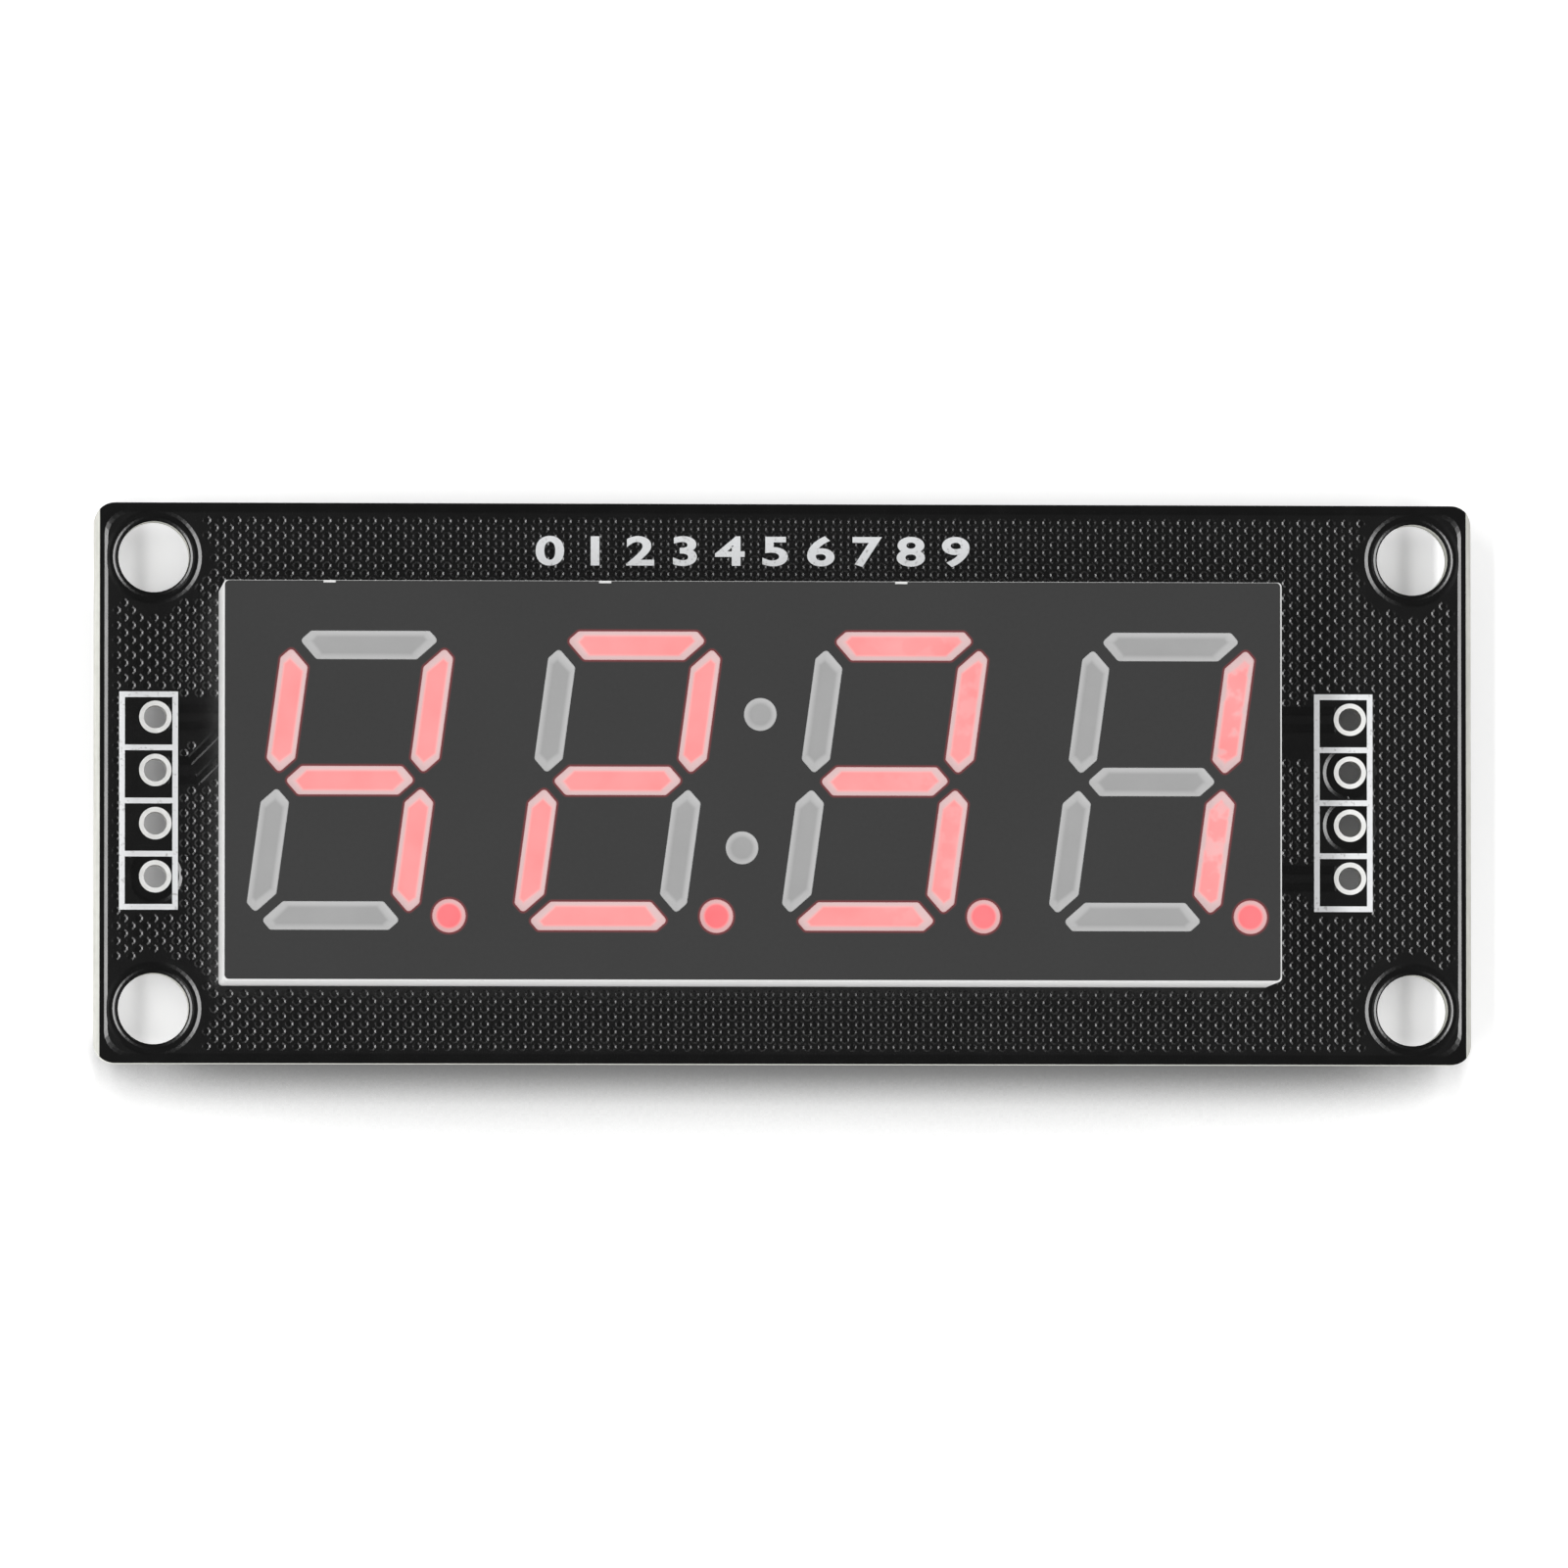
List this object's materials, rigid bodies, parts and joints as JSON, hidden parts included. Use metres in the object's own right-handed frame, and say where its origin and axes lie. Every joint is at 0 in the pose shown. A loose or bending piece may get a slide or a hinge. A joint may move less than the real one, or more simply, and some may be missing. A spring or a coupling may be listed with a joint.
{
  "type": "seven segment display module",
  "caption": "Flat rectangular display module: a black circuit board with corner screw holes and plated header holes carries a raised block of slanted red numerals, with its driver chip behind.",
  "frame": {"origin": "under the middle of the board, on the surface that the module lies on, level with the flat face of the driver chip", "axes": "+X along the row of digits to the reader's right, +Y up the digits, +Z out of the display face"},
  "size_m": [0.066, 0.0268, 0.0121],
  "materials": {
    "solder_mask": "glossy black solder mask over glass laminate",
    "tinned_copper": "bright tin over copper",
    "white_print": "white screen print",
    "white_housing": "satin white moulding",
    "dark_face": "flat dark grey print",
    "lit_resin": "milky cast resin with red light behind it",
    "unlit_resin": "milky cast resin",
    "light_board_laminate": "pale laminate",
    "light_chip": "polished crystal",
    "pin_metal": "tinned steel wire",
    "solder": "smooth soft solder",
    "chip_moulding": "matt black moulding",
    "resistor_ceramic": "black glazed ceramic",
    "capacitor_ceramic": "tan fired ceramic"
  },
  "bodies": {
    "root": {"circuit_board": "solder_mask", "left_header_pads": "tinned_copper", "right_header_pads": "tinned_copper", "display_pin_pads": "tinned_copper", "component_pads": "tinned_copper", "front_print": "white_print", "back_print": "white_print", "display_housing": "white_housing", "display_face": "dark_face", "light_board": "light_board_laminate", "light_chips": "light_chip", "upper_display_pins": "pin_metal", "lower_display_pins": "pin_metal", "display_pin_solder": "solder", "driver_chip_body": "chip_moulding", "driver_chip_leads": "tinned_copper", "small_part_end_caps": "tinned_copper", "colon_upper_dot": "unlit_resin", "colon_lower_dot": "unlit_resin", "digit_1_segment_a": "unlit_resin", "digit_1_segment_b": "lit_resin", "digit_1_segment_c": "lit_resin", "digit_1_segment_d": "unlit_resin", "digit_1_segment_e": "unlit_resin", "digit_1_segment_f": "lit_resin", "digit_1_segment_g": "lit_resin", "digit_1_decimal_point": "lit_resin", "digit_2_segment_a": "lit_resin", "digit_2_segment_b": "lit_resin", "digit_2_segment_c": "unlit_resin", "digit_2_segment_d": "lit_resin", "digit_2_segment_e": "lit_resin", "digit_2_segment_f": "unlit_resin", "digit_2_segment_g": "lit_resin", "digit_2_decimal_point": "lit_resin", "digit_3_segment_a": "lit_resin", "digit_3_segment_b": "lit_resin", "digit_3_segment_c": "lit_resin", "digit_3_segment_d": "lit_resin", "digit_3_segment_e": "unlit_resin", "digit_3_segment_f": "unlit_resin", "digit_3_segment_g": "lit_resin", "digit_3_decimal_point": "lit_resin", "digit_4_segment_a": "unlit_resin", "digit_4_segment_b": "lit_resin", "digit_4_segment_c": "lit_resin", "digit_4_segment_d": "unlit_resin", "digit_4_segment_e": "unlit_resin", "digit_4_segment_f": "unlit_resin", "digit_4_segment_g": "unlit_resin", "digit_4_decimal_point": "lit_resin", "pull_up_resistor_1": "resistor_ceramic", "pull_up_resistor_2": "resistor_ceramic", "supply_capacitor_1": "capacitor_ceramic", "supply_capacitor_2": "capacitor_ceramic", "supply_capacitor_3": "capacitor_ceramic"}
  },
  "joints": []
}
